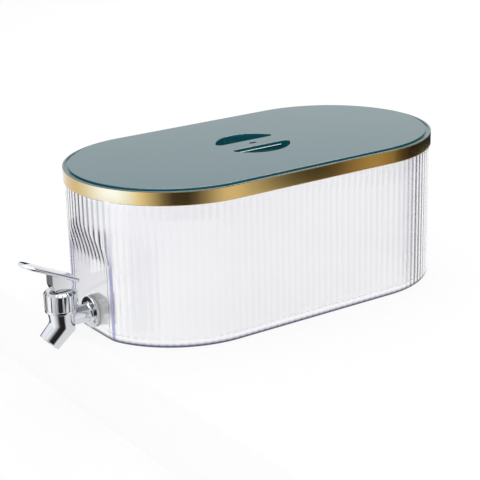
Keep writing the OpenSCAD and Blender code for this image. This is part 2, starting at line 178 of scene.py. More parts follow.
# Each screen has a centre, half sizes, lowest and highest edge, a slant in degrees a metre, and bands: the
# degrees round from the front, with the brightness there as one grey or as red, green and blue.
SCREENS = (
    ("room_screen", (0, 0), (0.42, 0.32), 0.0245, 0.13, 0, (
        (-180, 1.0), (-130, 1.05), (-118, 1.2, 1.4, 1.9), (-106, 1.5, 2.0, 3.9), (-97, 1.7, 2.4, 5.6),
        (-87, 1.7, 2.5, 5.6), (-78, 1.5, 2.0, 3.8), (-69, 1.3, 1.4, 1.6), (-60, 0.8), (-51, 0.25),
        (-44, 0.06), (-33, 0.05), (-26, 0.15), (-18, 0.4), (-8, 0.75), (0, 1.0), (14, 1.05), (19, 0.55),
        (22, 0.25), (25, 0.1), (29, 0.05), (32, 0.12, 0.1, 0.07), (35, 0.42, 0.34, 0.22),
        (38, 0.64, 0.52, 0.31), (40, 0.5, 0.4, 0.24), (43, 0.25, 0.2, 0.12), (50, 0.12, 0.09, 0.06),
        (60, 0.03), (110, 0.03), (125, 0.4), (150, 0.9), (180, 0.9))),
    ("tap_flag", TAP_SPOT, TAP_SCREEN_HALF, -SHELF_DROP, TAP_SCREEN_TOP, TAP_SCREEN_SLANT, (
        (-195, 0.03), (-168, 0.03))),
    ("tap_grey", TAP_SPOT, TAP_SCREEN_HALF, -SHELF_DROP, 14 * MM, TAP_SCREEN_SLANT, (
        (-168, 0.03), (-160, 0.05), (-150, 0.2), (-141, 0.3), (-136, 0.7), (-130, 1.2))),
    ("web_flag", TAP_SPOT, (30 * MM, 30 * MM), 31 * MM, 50 * MM, 0, ((-146, 0.2), (-120, 0.25))),
    ("tap_screen", TAP_SPOT, TAP_SCREEN_HALF, -SHELF_DROP, TAP_SCREEN_TOP, TAP_SCREEN_SLANT, (
        (-130, 1.2), (-98, 1.35), (-86, 1.1), (-76, 0.9), (-67, 0.75), (-59, 0.5), (-52, 0.3), (-46, 0.1),
        (-40, 0.03), (-4, 0.02), (2, 0.2), (8, 0.75), (20, 0.95), (29, 1.15), (36, 1.2), (50, 1.0))),
)
SCREEN_STEPS = 128
SOFTBOX_PLACE = (0.28, 0.1, 1.1)
SOFTBOX_HALF = (0.68, 0.5)
SOFTBOX_LEVEL = 9
# Clear walls pass light through many faces, so paths are long enough to come out again.
PATH_BOUNCES = 40

scene.cycles.max_bounces = PATH_BOUNCES
scene.cycles.glossy_bounces = PATH_BOUNCES
scene.cycles.transmission_bounces = PATH_BOUNCES

scene.world = bpy.data.worlds.new("white_room")
scene.world.use_nodes = True
tree = scene.world.node_tree
tree.nodes.clear()
strength = node(tree, "ShaderNodeMapRange", {
    "Value": seen_directly(tree), "To Min": ROOM_LIGHT, "To Max": 1.0})
room = node(tree, "ShaderNodeBackground", {"Color": linear("#ffffff"), "Strength": strength.outputs[0]})
node(tree, "ShaderNodeOutputWorld", {"Surface": room.outputs[0]})

for name, place, size, watts in LAMPS:
    lamp = bpy.data.objects.new(name, bpy.data.lights.new(name, "AREA"))
    lamp.data.size = size
    lamp.data.energy = watts
    lamp.location = place
    lamp.rotation_euler = (AIM - Vector(place)).to_track_quat("-Z", "Y").to_euler()
    lamp.visible_glossy = False
    lamp.visible_transmission = False
    scene.collection.objects.link(lamp)


def mirrors_only(screen):
    """Let only reflections see a screen."""
    screen.visible_camera = False
    screen.visible_diffuse = False
    screen.visible_transmission = False
    screen.visible_shadow = False


for name, centre, half, low, top, slant, bands in SCREENS:
    centre = Vector((*centre, 0))
    start = math.radians(bands[0][0])
    end = math.radians(bands[-1][0])
    middle = (start + end) / 2
    turned = Matrix.Rotation(-middle, 3, "Z")
    cloth, tree = blank_material(name)
    place = node(tree, "ShaderNodeTexCoord")
    local = node(tree, "ShaderNodeMapping", {
        "Vector": place.outputs["Object"], "Location": -(turned @ centre), "Rotation": (0, 0, -middle)})
    axes = node(tree, "ShaderNodeSeparateXYZ", {0: local.outputs[0]})
    front = node(tree, "ShaderNodeMath", {0: axes.outputs["Y"], 1: -1.0}, operation="MULTIPLY")
    angle = node(tree, "ShaderNodeMath", {0: axes.outputs["X"], 1: front.outputs[0]}, operation="ARCTAN2")
    lean = node(tree, "ShaderNodeMath", {
        0: axes.outputs["Z"], 1: -math.radians(slant), 2: angle.outputs[0]}, operation="MULTIPLY_ADD")
    turn = node(tree, "ShaderNodeMapRange", {
        "Value": lean.outputs[0], "From Min": start - middle, "From Max": end - middle})
    ramp = node(tree, "ShaderNodeValToRGB", {0: turn.outputs[0]})
    while len(ramp.color_ramp.elements) < len(bands):
        ramp.color_ramp.elements.new(0.5)
    for stop, (degrees, *level) in zip(ramp.color_ramp.elements, bands):
        stop.position = (math.radians(degrees) - start) / (end - start)
        stop.color = (*(level * 3)[:3], 1)
    glow = node(tree, "ShaderNodeEmission", {"Color": ramp.outputs[0], "Strength": 1.0})
    node(tree, "ShaderNodeOutputMaterial", {"Surface": glow.outputs[0]})

    bm = bmesh.new()
    post = bm.edges.new([bm.verts.new((math.sin(start), -math.cos(start), z)) for z in (low, top)])
    bmesh.ops.spin(bm, geom=[post, *post.verts], axis=(0, 0, 1), angle=end - start, steps=SCREEN_STEPS)
    bmesh.ops.scale(bm, vec=(*half, 1), verts=bm.verts)
    bmesh.ops.translate(bm, vec=centre, verts=bm.verts)
    screen = stage_object(name, bm, cloth)
    mirrors_only(screen)

softbox_cloth, tree = blank_material("softbox_cloth")
glow = node(tree, "ShaderNodeEmission", {"Color": linear("#ffffff"), "Strength": SOFTBOX_LEVEL})
node(tree, "ShaderNodeOutputMaterial", {"Surface": glow.outputs[0]})
bm = bmesh.new()
bmesh.ops.create_grid(bm, x_segments=1, y_segments=1, size=1)
bmesh.ops.scale(bm, vec=(*SOFTBOX_HALF, 1), verts=bm.verts)
bmesh.ops.translate(bm, vec=SOFTBOX_PLACE, verts=bm.verts)
mirrors_only(stage_object("softbox", bm, softbox_cloth))


# Tank. One clear shell of styrene-acrylonitrile, injection moulded and polished: reeds all round,
# a plain foot, a neck for the lid, and a flat panel at one end that is drilled for the tap.
tank_low, tank_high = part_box("tank_body")
CREST_R = tank_high.y
HALF_RUN = tank_high.x - CREST_R
NECK_TOP = tank_high.z
WALL_TOP = 109.2 * MM
WALL_T = 3 * MM
FLOOR_T = 2.5 * MM
FLUTE_D = 0.5 * MM
FOOT_INSET = 0.5 * MM
FOOT_ROUND = 0.5 * MM
FOOT_H = 1 * MM
FOOT_STEP_MM = ((0.5, 0.8), (0.4, 1.1), (0.1, 1.4))
UNDERSIDE_INSET = 10 * MM
NECK_INSET = 1.75 * MM
NECK_ROUND = 0.5 * MM
NECK_FILLET = 0.2 * MM
INNER_INSET = 3.8 * MM
FLOOR_ROUND = 4 * MM
FLOOR_INSET = 16 * MM
SIDE_REEDS = 26
END_REEDS = 46
STEPS_PER_REED = 8
PANEL_X = -152 * MM
PANEL_H = 57 * MM
PANEL_TOP = 91 * MM
PANEL_EDGE = 1.6 * MM
PANEL_STEPS = 18
FLUTE_FADE = (60 * MM, 76 * MM)
FOOT_FADE = 4 * MM
LOW_LEVELS = (2 * MM, FOOT_FADE, 9 * MM, 30 * MM, 48 * MM)
HIGH_LEVELS = (97 * MM, 108.2 * MM)
END_PAST = 0.3 * MM
END_X = tank_low.x - END_PAST
SHANK_Z = 15.2 * MM
SHANK_HOLE_D = 14.4 * MM
HOLE_SIDES = 64
WELD = 1e-6
SHARP = math.radians(34)


def ease(value, start=0, end=1):
    """Smooth step from 0 at the start to 1 at the end."""
    t = min(1, max(0, (value - start) / (end - start)))
    return t * t * (3 - 2 * t)


def trace(bm, start, moves):
    """Draw a closed outline with one point. A move is a centre, an angle about it, a run and its steps."""
    drawn_before = set(bm.edges)
    tip = [bm.verts.new(start)]
    for centre, angle, run, steps in moves:
        step = (run[0] / steps, run[1] / steps, 0)
        drawn = bmesh.ops.spin(bm, geom=tip, cent=(*centre, 0), axis=(0, 0, 1), dvec=step, angle=angle,
                               steps=steps)
        tip = [g for g in drawn["geom_last"] if isinstance(g, bmesh.types.BMVert)]
    bmesh.ops.remove_doubles(bm, verts=bm.verts, dist=WELD)
    return [e for e in bm.edges if e not in drawn_before]


def stadium(bm, radius, side_steps, end_steps):
    """Outline of the tank's plan with round ends of the given radius."""
    trace(bm, (-HALF_RUN, -radius, 0), (
        ((0, 0), 0, (2 * HALF_RUN, 0), side_steps),
        ((HALF_RUN, 0), math.pi, (0, 0), end_steps),
        ((0, 0), 0, (-2 * HALF_RUN, 0), side_steps),
        ((-HALF_RUN, 0), math.pi, (0, 0), end_steps),
    ))


def loft(bm, stations, put, marks=()):
    """Draw the outline in bm up through its stations, and put each point where its station says.

    A mark is the name of an attribute of the points, and the function that gives its value.
    """
    bmesh.ops.spin(bm, geom=bm.verts[:] + bm.edges[:], cent=(0, 0, 0), axis=(0, 0, 1), dvec=(0, 0, 1),
                   angle=0, steps=len(stations) - 1)
    layers = [(bm.verts.layers.float.new(name), value) for name, value in marks]
    for v in bm.verts:
        x, y, z = v.co
        station = stations[round(z)]
        for layer, value in layers:
            v[layer] = value(x, y, station)
        v.co = put(x, y, station)


def rounded(out, height, radius, start, end, steps=4):
    """Points of an arc in a section, between two angles in degrees."""
    angles = [math.radians(start + (end - start) * i / steps) for i in range(steps + 1)]
    return [(out + radius * math.cos(a), height + radius * math.sin(a)) for a in angles]


def outward(x, y):
    """Unit normal of the stadium at a point on its outline."""
    middle = max(-HALF_RUN, min(HALF_RUN, x))
    return Vector((x - middle, y)).normalized()


def stadium_point(x, y, station):
    """A point of the stadium, stepped out by the station's first value, at its height."""
    out, z = station
    n = outward(x, y)
    return x + n.x * out, y + n.y * out, z


def off_reed(x, y):
    """0 on the crest of a reed, and 1 in the groove where two reeds meet."""
    if abs(x) < HALF_RUN:
        along = (x + HALF_RUN) / (2 * HALF_RUN) * SIDE_REEDS
    else:
        along = math.atan2(y, abs(x) - HALF_RUN) / math.pi * END_REEDS + END_REEDS / 2
    return 2 * abs(along % 1 - 0.5)


# The look of the wall changes round the tank: its haze, and the painted shade of its foot and grooves.
# A zone is where a change starts and ends, along one axis of the wall's outward normal, or along its
# height.
CLEAR_TAP_END = (0.8, 0.9)
CLEAR_TAP_SHARE = 0.8
CLEAR_FAR_END = (0.25, 0.35)
CLEAR_FAR_SHARE = 0.85
# The foot's painted shade: how strong it is, and how much less it is at the back.
FOOT_GAIN = 1.3
FOOT_BACK = (0, 0.6)
FOOT_BACK_SHARE = 0.6
# The grooves' painted shade: where it lies, how strong and how wide it is, and how flat the reeds are over
# the tap.
LINE_TAP_END = (0.90, 0.96)
LINE_RISE = (54 * MM, 62 * MM)
LINE_FLAT = 0.7
LINE_TOP = (PANEL_TOP - 8 * MM, PANEL_TOP)
LINE_FRONT = (-0.3, 0)
LINE_TOP_SHARE = 0.5
LINE_FAR_IN = (0.1, 0.35)
LINE_FAR_OUT = (0.42, 0.77)
LINE_FAR_SHARE = 0.92
LINE_STEPS = 2.1
LINE_FAR_STEPS = 0.6
LINE_FAINT = 0.03


def wall_haze(x, y, station):
    """How hazy the wall's face is: 0 outside and 1 inside, less at the two round ends."""
    n = outward(x, y)
    clear = max(CLEAR_TAP_SHARE * ease(-n.x, *CLEAR_TAP_END), CLEAR_FAR_SHARE * ease(n.x, *CLEAR_FAR_END))
    return (1 - clear) * (station[-1] > 0)


def painted_foot_shade(x, y, station):
    """Painted shade on the foot: full over its height, fading in the wall above it, and less at the back.
    """
    out, z, plain_out, wall = station
    dark = max(0, min(1, FOOT_GAIN * (FOOT_FADE - z) / (FOOT_FADE - FOOT_H))) * (z > 0) * (wall == 0)
    return dark * (1 - FOOT_BACK_SHARE * ease(outward(x, y).y, *FOOT_BACK))


def over_tap(n, z):
    """1 on the wall over the tap's panel, where the reeds are shallow, and 0 elsewhere."""
    return ease(-n.x, *LINE_TAP_END) * ease(z, *LINE_RISE)


def painted_groove_shade(x, y, station):
    """Painted shade in a groove: most over the tap's panel and on the far end's front, faint elsewhere."""
    out, z, plain_out, wall = station
    n = outward(x, y)
    far_end = LINE_FAR_SHARE * ease(n.x, *LINE_FAR_IN) * (1 - ease(n.x, *LINE_FAR_OUT)) * (n.y < 0)
    lighter = LINE_TOP_SHARE * ease(z, *LINE_TOP) * (1 - ease(n.y, *LINE_FRONT))
    strength = LINE_FAINT + (1 - LINE_FAINT) * max((1 - lighter) * over_tap(n, z), far_end)
    steps_off = (1 - off_reed(x, y)) * STEPS_PER_REED / 2
    in_groove = min(1, max(0, LINE_STEPS + LINE_FAR_STEPS * far_end - steps_off))
    return strength * in_groove * (wall == 0) * (FOOT_H < z < WALL_TOP)


def tank_point(x, y, station):
    """Place of a point of the wall: a step in or out of the outline, cut back to the tap's panel."""
    out, z, plain_out, wall = station
    n = outward(x, y)
    rise = ease(z, PANEL_H, PANEL_TOP)
    front = PANEL_X + (END_X - PANEL_X) * rise + wall + max(0, plain_out - out)
    edge = PANEL_EDGE * (1 - rise)
    px = x + n.x * out
    on_panel = ease(front - px, 0, PANEL_EDGE)
    px = (px + front + math.hypot(px - front, edge)) / 2
    fluted = ease(z - FOOT_H + FLUTE_D / 4, 0, FLUTE_D) * (z < WALL_TOP) * (wall == 0)
    fluted *= 1 - on_panel * (1 - ease(z, *FLUTE_FADE))
    fluted *= 1 - LINE_FLAT * over_tap(n, z)
    depth = fluted * FLUTE_D * off_reed(x, y) ** 2
    facing = n.lerp(Vector((-1, 0)), on_panel)
    return px - facing.x * depth, y + n.y * out - facing.y * depth, z


def new_piece(name, bm, material, body, slot, *replaced):
    """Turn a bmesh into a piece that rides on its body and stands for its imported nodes."""
    bmesh.ops.remove_doubles(bm, verts=bm.verts, dist=WELD)
    bmesh.ops.recalc_face_normals(bm, faces=bm.faces)
    mesh = bpy.data.meshes.new(name)
    bm.to_mesh(mesh)
    bm.free()
    mesh.shade_smooth()
    mesh.set_sharp_from_angle(angle=SHARP)
    mesh.materials.append(material)
    made = bpy.data.objects.new(name, mesh)
    scene.collection.objects.link(made)
    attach(made, body)
    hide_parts(*replaced)
    return made


def cut(piece, bm, operation="DIFFERENCE"):
    """Cut the shape in bm out of a piece, or join it on, and keep the result as the piece's mesh."""
    mesh = bpy.data.meshes.new("cutter")
    bm.to_mesh(mesh)
    bm.free()
    cutter = bpy.data.objects.new("cutter", mesh)
    scene.collection.objects.link(cutter)
    step = piece.modifiers.new("cut", "BOOLEAN")
    step.operation = operation
    step.object = cutter
    step.solver = "EXACT"
    bpy.context.view_layer.update()
    result = bpy.data.meshes.new_from_object(piece.evaluated_get(bpy.context.evaluated_depsgraph_get()))
    piece.modifiers.clear()
    piece.data = result
    bpy.data.objects.remove(cutter)
    result.shade_smooth()
    result.set_sharp_from_angle(angle=SHARP)


# Clear styrene-acrylonitrile: colourless at one wall's depth, and lavender blue where it is thick. Painted
# shade in its colour: lavender blue down the panel's two upright edges with a dark line inside each, a dark
# foot, and dark grooves, most over the tap's panel and on the far end's front. The inner face is hazy, and
# the mould leaves it faintly wavy. Lamps shine through it.
CLEAR_WHITE = "#fdfdfe"
# Colours of the painted shade on the panel's edges, the foot and the grooves.
CLEAR_EDGE_SHADE = "#5c5aa8"
CLEAR_FOOT_SHADE = "#080c2c"
CLEAR_GROOVE_SHADE = "#020208"
CLEAR_DEPTH = "#c6c4f4"
CLEAR_DENSITY = 3
FLOW_WAVE = 14 * MM
PANEL_EDGE_Y = math.sqrt(CREST_R ** 2 - (PANEL_X + HALF_RUN) ** 2)
# The painted shade down the panel's upright edges, and the painted dark line inside each: place and width.
PANEL_LINE_Y = PANEL_EDGE_Y - 0.8 * MM
PANEL_LINE_W = 1.8 * MM
CORE_LINE_SHADE_Y = PANEL_EDGE_Y - 5.6 * MM
CORE_LINE_SHADE_W = 0.35 * MM
CORE_HAZE = 0.35

clear_plastic, tree = blank_material("clear_styrene_moulded")
place = node(tree, "ShaderNodeTexCoord")
axes = node(tree, "ShaderNodeSeparateXYZ", {0: place.outputs["Object"]})
# Painted shade on the foot.
foot = node(tree, "ShaderNodeAttribute", attribute_name="painted_foot_shade")
# Painted shade down the panel's two upright edges, and a dark line inside each, fading up its curve.
aside = node(tree, "ShaderNodeMath", {0: axes.outputs["Y"]}, operation="ABSOLUTE")
corner = node(tree, "ShaderNodeMath", {
    0: aside.outputs[0], 1: PANEL_LINE_Y, 2: PANEL_LINE_W}, operation="COMPARE")
front = node(tree, "ShaderNodeMath", {0: axes.outputs["X"], 1: PANEL_X + WALL_T}, operation="LESS_THAN")
upright = node(tree, "ShaderNodeMath", {0: corner.outputs[0], 1: front.outputs[0]}, operation="MULTIPLY")
rise = node(tree, "ShaderNodeMapRange", {
    "Value": axes.outputs["Z"], "From Min": PANEL_H, "From Max": PANEL_TOP, "To Min": 0.9, "To Max": 0.0})
upright = node(tree, "ShaderNodeMath", {0: upright.outputs[0], 1: rise.outputs[0]}, operation="MULTIPLY")
core_line_shade = node(tree, "ShaderNodeMath", {
    0: aside.outputs[0], 1: CORE_LINE_SHADE_Y, 2: CORE_LINE_SHADE_W}, operation="COMPARE")
core_line_shade = node(tree, "ShaderNodeMath", {0: core_line_shade.outputs[0], 1: front.outputs[0]}, operation="MULTIPLY")
core_line_shade = node(tree, "ShaderNodeMath", {0: core_line_shade.outputs[0], 1: rise.outputs[0]}, operation="MULTIPLY")
# Painted shade in the grooves, joined with the painted dark line inside each upright edge of the panel.
groove_shade = node(tree, "ShaderNodeAttribute", attribute_name="painted_groove_shade")
groove_shade = node(tree, "ShaderNodeMath", {0: groove_shade.outputs["Fac"], 1: core_line_shade.outputs[0]}, operation="MAXIMUM")
tint = node(tree, "ShaderNodeMix", {
    0: upright.outputs[0], 6: linear(CLEAR_WHITE), 7: linear(CLEAR_EDGE_SHADE)}, data_type="RGBA")
tint = node(tree, "ShaderNodeMix", {
    0: foot.outputs["Fac"], 6: tint.outputs[2], 7: linear(CLEAR_FOOT_SHADE)}, data_type="RGBA")
tint = node(tree, "ShaderNodeMix", {
    0: groove_shade.outputs[0], 6: tint.outputs[2], 7: linear(CLEAR_GROOVE_SHADE)}, data_type="RGBA")
flow = node(tree, "ShaderNodeTexNoise", {
    "Vector": place.outputs["Object"], "Scale": 1 / FLOW_WAVE, "Detail": 2.0})
polish = node(tree, "ShaderNodeMapRange", {"Value": flow.outputs[0], "To Min": 0.01, "To Max": 0.05})
inner = node(tree, "ShaderNodeAttribute", attribute_name="wall_haze")
haze = node(tree, "ShaderNodeMath", {
    0: inner.outputs["Fac"], 1: CORE_HAZE, 2: polish.outputs[0]}, operation="MULTIPLY_ADD")
ripple = node(tree, "ShaderNodeBump", {"Height": flow.outputs[0], "Strength": 0.15, "Distance": 0.1 * MM})
glass = node(tree, "ShaderNodeBsdfPrincipled", {
    "Base Color": tint.outputs[2], "Roughness": haze.outputs[0], "IOR": 1.57,
    "Transmission Weight": 1.0, "Normal": ripple.outputs[0]})
path = node(tree, "ShaderNodeLightPath")
through = node(tree, "ShaderNodeBsdfTransparent", {"Color": linear(CLEAR_WHITE)})
mixed = node(tree, "ShaderNodeMixShader", {
    0: path.outputs["Is Shadow Ray"], 1: glass.outputs[0], 2: through.outputs[0]})
depth = node(tree, "ShaderNodeVolumeAbsorption", {"Color": linear(CLEAR_DEPTH), "Density": CLEAR_DENSITY})
node(tree, "ShaderNodeOutputMaterial", {"Surface": mixed.outputs[0], "Volume": depth.outputs[0]})

curve = [PANEL_H + (PANEL_TOP - PANEL_H) * i / PANEL_STEPS for i in range(PANEL_STEPS + 1)]
levels = [*LOW_LEVELS, *curve, *HIGH_LEVELS]
outside = [(-UNDERSIDE_INSET, 0), *rounded(-FOOT_INSET - FOOT_ROUND, FOOT_ROUND, FOOT_ROUND, -90, 0)]
outside += [(-inset * MM, z * MM) for inset, z in FOOT_STEP_MM]
outside += [(0, z) for z in levels]
outside += rounded(-NECK_ROUND, WALL_TOP - NECK_ROUND, NECK_ROUND, 0, 80)
outside += [(-NECK_INSET + NECK_FILLET, WALL_TOP), (-NECK_INSET, WALL_TOP + NECK_FILLET)]
outside += rounded(-NECK_INSET - NECK_ROUND, NECK_TOP - NECK_ROUND, NECK_ROUND, 0, 90)
inside = rounded(-INNER_INSET + NECK_ROUND, NECK_TOP - NECK_ROUND, NECK_ROUND, 90, 180)
inside += [(-INNER_INSET, z) for z in reversed(levels) if z > FLOOR_T + FLOOR_ROUND]
inside += rounded(-INNER_INSET - FLOOR_ROUND, FLOOR_T + FLOOR_ROUND, FLOOR_ROUND, 0, -90)
inside += [(-FLOOR_INSET, FLOOR_T)]

bm = bmesh.new()
stadium(bm, CREST_R, SIDE_REEDS * STEPS_PER_REED, END_REEDS * STEPS_PER_REED)
stations = [(out, z, -FOOT_INSET, 0) for out, z in outside]
stations += [(out, z, -INNER_INSET, WALL_T) for out, z in inside]
loft(bm, stations, tank_point, (
    ("wall_haze", wall_haze), ("painted_groove_shade", painted_groove_shade), ("painted_foot_shade", painted_foot_shade)))
bmesh.ops.holes_fill(bm, edges=[e for e in bm.edges if e.is_boundary], sides=0)
tank = new_piece("fluted_tank", bm, clear_plastic, "tank", "clear_plastic", "tank_body")

bm = bmesh.new()
bmesh.ops.create_cone(bm, cap_ends=True, segments=HOLE_SIDES, radius1=SHANK_HOLE_D / 2,
                      radius2=SHANK_HOLE_D / 2, depth=6 * WALL_T)
bmesh.ops.rotate(bm, matrix=Matrix.Rotation(math.pi / 2, 3, "Y"), verts=bm.verts)
bmesh.ops.translate(bm, vec=(PANEL_X + WALL_T / 2, 0, SHANK_Z), verts=bm.verts)
cut(tank, bm)


# Lid. Teal ABS moulded in one piece and highly polished: a flat top inside a shallow gutter and a rim,
# two finger recesses beside a ribbed grip bar with an air vent, a skirt over the neck and a plug rib in it.
lid_low, lid_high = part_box("lid_shell")
band_low, band_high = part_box("gilt_band")
LID_TOP = lid_high.z
LID_UNDER = LID_TOP - 2.8 * MM
LEDGE_Z = LID_TOP - 1.0 * MM
TOP_OUT = -3.0 * MM
TOP_ROUND = 0.4 * MM
FLAT_RIM = 0.15 * MM
RIM_ROUND = 0.25 * MM
RIM_GAP = 0.05 * MM
LEDGE_FILLET = 0.3 * MM
GUTTER_W = 2.2 * MM
GUTTER_D = 1.0 * MM
SKIRT_OUT = lid_high.y - CREST_R
BAND_OUT = band_high.y - CREST_R
SKIRT_LOW = 109.5 * MM
SKIRT_T = 1.6 * MM
RIB_OUT = -4.1 * MM
RIB_T = 1.6 * MM
EDGE_ROUND = 0.3 * MM
LID_SIDE_STEPS = 12
LID_END_STEPS = 96
DISH_R = 29.5 * MM
DISH_FLOOR = LID_TOP - 9 * MM
DISH_T = 2 * MM
DISH_CORNER = 3.6 * MM
DISH_LIP = 0.6 * MM
DISH_FLOOR_ROUND = 2.4 * MM
BAR_W = 18 * MM
RIB_HALF = 21 * MM
GRIP_RIB_MM = ((-0.4, -2.1), (0.7, -2.9), (0.7, -3.0), (-0.4, -3.9))
VENT_L = 7 * MM
VENT_W = 3 * MM
VENT_STEPS = 12
CUP_ROUND = 0.9 * MM
CUP_STEPS = 96


def spread(bm, edges, up):
    """Fill one loop, or the space between nested loops, with faces that point up or down."""
    bmesh.ops.triangle_fill(bm, use_beauty=True, edges=edges, normal=(0, 0, 1 if up else -1))


def cap(bm, edges, up):
    """Close a loop with one face that points up or down."""
    face = bmesh.ops.edgeloop_fill(bm, edges=edges)["faces"][0]
    face.normal_update()
    if (face.normal.z > 0) != up:
        face.normal_flip()
    return face


def push(bm, face, profile):
    """Push a face in or out along a section of (inset, height) points."""
    for (inset, height), (next_inset, next_height) in zip(profile, profile[1:]):
        bmesh.ops.inset_region(bm, faces=[face], thickness=next_inset - inset, depth=next_height - height,
                               use_even_offset=True, use_boundary=True)


def recess_lip(bm, side):
    """Trace the lip of the finger recess on one side of the grip bar."""
    corner = DISH_CORNER + DISH_LIP + FLAT_RIM
    chord = BAR_W / 2 - DISH_LIP - FLAT_RIM
    reach = DISH_R + DISH_LIP + FLAT_RIM - corner
    corner_y = chord + corner
    corner_x = math.sqrt(reach ** 2 - corner_y ** 2)
    arc = math.atan2(corner_x, corner_y)
    turn = math.pi - arc
    return trace(bm, (-side * corner_x, side * chord, LID_TOP), (
        ((0, 0), 0, (side * 2 * corner_x, 0), 16),
        ((side * corner_x, side * corner_y), turn, (0, 0), 14),
        ((0, 0), 2 * arc, (0, 0), 40),
        ((-side * corner_x, side * corner_y), turn, (0, 0), 14),
    ))


def vent_slot(bm, z):
    """Trace the slot of the air vent at a height."""
    run = VENT_L - VENT_W
    return trace(bm, (-run / 2, -VENT_W / 2, z), (
        ((0, 0), 0, (run, 0), 1),
        ((run / 2, 0), math.pi, (0, 0), VENT_STEPS),
        ((0, 0), 0, (-run, 0), 1),
        ((-run / 2, 0), math.pi, (0, 0), VENT_STEPS),
    ))


def stretch(bm, corners, run):
    """Draw a flat face through its corners and stretch it to a solid bar."""
    end = bm.faces.new([bm.verts.new(corner) for corner in corners])
    bar = bmesh.ops.extrude_face_region(bm, geom=[end])["geom"]
    bmesh.ops.translate(bm, vec=run, verts=[g for g in bar if isinstance(g, bmesh.types.BMVert)])


def at_height(bm, z):
    """Open edges of a mesh at a height."""
    return [e for e in bm.edges if e.is_boundary and all(abs(v.co.z - z) < WELD for v in e.verts)]


# Polished teal ABS: a deep blue-green body under a clear gloss that mirrors a white room at low angles,
# with the faint unevenness of a moulded sheet. Its fine dust is drawn coarse, and shows only close up.
TEAL = "#0c5059"
ABS_WAVE = 45 * MM
ABS_DUST = 0.6 * MM

teal_abs, tree = blank_material("teal_abs_polished")
place = node(tree, "ShaderNodeTexCoord")
wave = node(tree, "ShaderNodeTexNoise", {
    "Vector": place.outputs["Object"], "Scale": 1 / ABS_WAVE, "Detail": 1.0})
dust = node(tree, "ShaderNodeTexNoise", {
    "Vector": place.outputs["Object"], "Scale": 1 / ABS_DUST, "Detail": 3.0})
gloss = node(tree, "ShaderNodeMapRange", {"Value": dust.outputs[0], "To Min": 0.05, "To Max": 0.13})
tint = node(tree, "ShaderNodeMapRange", {"Value": wave.outputs[0], "To Min": 0.94, "To Max": 1.06})
shade = node(tree, "ShaderNodeHueSaturation", {"Color": linear(TEAL), "Value": tint.outputs[0]})
sag = node(tree, "ShaderNodeBump", {"Height": wave.outputs[0], "Strength": 0.1, "Distance": 0.05 * MM})
skin = node(tree, "ShaderNodeBsdfPrincipled", {
    "Base Color": shade.outputs[0], "Roughness": gloss.outputs[0], "IOR": 1.53,
    "Coat Weight": 0.1, "Coat Roughness": 0.03, "Normal": sag.outputs[0]})
node(tree, "ShaderNodeOutputMaterial", {"Surface": skin.outputs[0]})

skirt_in = SKIRT_OUT - SKIRT_T
section = [(TOP_OUT - TOP_ROUND - FLAT_RIM, LID_TOP)]
section += rounded(TOP_OUT - TOP_ROUND, LID_TOP - TOP_ROUND, TOP_ROUND, 90, 0)
gutter_out = TOP_OUT + GUTTER_W
section += rounded(TOP_OUT + LEDGE_FILLET, LEDGE_Z - GUTTER_D + LEDGE_FILLET, LEDGE_FILLET, 180, 270)
section += rounded(gutter_out - LEDGE_FILLET, LEDGE_Z - GUTTER_D + LEDGE_FILLET, LEDGE_FILLET, 270, 360)
section += rounded(gutter_out + LEDGE_FILLET, LEDGE_Z - LEDGE_FILLET, LEDGE_FILLET, 180, 90)
section += [(gutter_out + LEDGE_FILLET + FLAT_RIM, LEDGE_Z), (BAND_OUT - RIM_ROUND - FLAT_RIM, LEDGE_Z)]
section += rounded(BAND_OUT - RIM_ROUND, LEDGE_Z - RIM_ROUND, RIM_ROUND, 90, 0, 8)
section += [(BAND_OUT, band_high.z + RIM_GAP), (SKIRT_OUT, band_high.z + RIM_GAP)]
section += rounded(SKIRT_OUT - EDGE_ROUND, SKIRT_LOW + EDGE_ROUND, EDGE_ROUND, 0, -90)
section += rounded(skirt_in + EDGE_ROUND, SKIRT_LOW + EDGE_ROUND, EDGE_ROUND, -90, -180)
section += rounded(skirt_in - EDGE_ROUND, LID_UNDER - EDGE_ROUND, EDGE_ROUND, 0, 90)
section += rounded(RIB_OUT + EDGE_ROUND, LID_UNDER - EDGE_ROUND, EDGE_ROUND, 90, 180)
section += rounded(RIB_OUT - EDGE_ROUND, lid_low.z + EDGE_ROUND, EDGE_ROUND, 0, -90)
section += rounded(RIB_OUT - RIB_T + EDGE_ROUND, lid_low.z + EDGE_ROUND, EDGE_ROUND, -90, -180)
section += rounded(RIB_OUT - RIB_T - EDGE_ROUND, LID_UNDER - EDGE_ROUND, EDGE_ROUND, 0, 90)
section += [(RIB_OUT - RIB_T - EDGE_ROUND - FLAT_RIM, LID_UNDER)]

bm = bmesh.new()
stadium(bm, CREST_R, LID_SIDE_STEPS, LID_END_STEPS)
loft(bm, section, stadium_point)
top_edge = at_height(bm, LID_TOP)
under_edge = at_height(bm, LID_UNDER)
lips = [recess_lip(bm, side) for side in (1, -1)]
vent_top = vent_slot(bm, LID_TOP)
spread(bm, [*top_edge, *lips[0], *lips[1], *vent_top], True)
floor_in = FLAT_RIM + DISH_LIP + DISH_FLOOR_ROUND
floor_z = DISH_FLOOR - LID_TOP
recess = [(0, 0), *rounded(FLAT_RIM, -DISH_LIP, DISH_LIP, 90, 0)]
recess += rounded(floor_in, floor_z + DISH_FLOOR_ROUND, DISH_FLOOR_ROUND, 180, 270, 6)
recess += [(floor_in + FLAT_RIM, floor_z)]
for lip in lips:
    push(bm, cap(bm, lip, True), recess)
for side in (1, -1):
    corners = [(-RIB_HALF, side * (BAR_W / 2 + out * MM), LID_TOP + z * MM) for out, z in GRIP_RIB_MM]
    stretch(bm, corners, (2 * RIB_HALF, 0, 0))

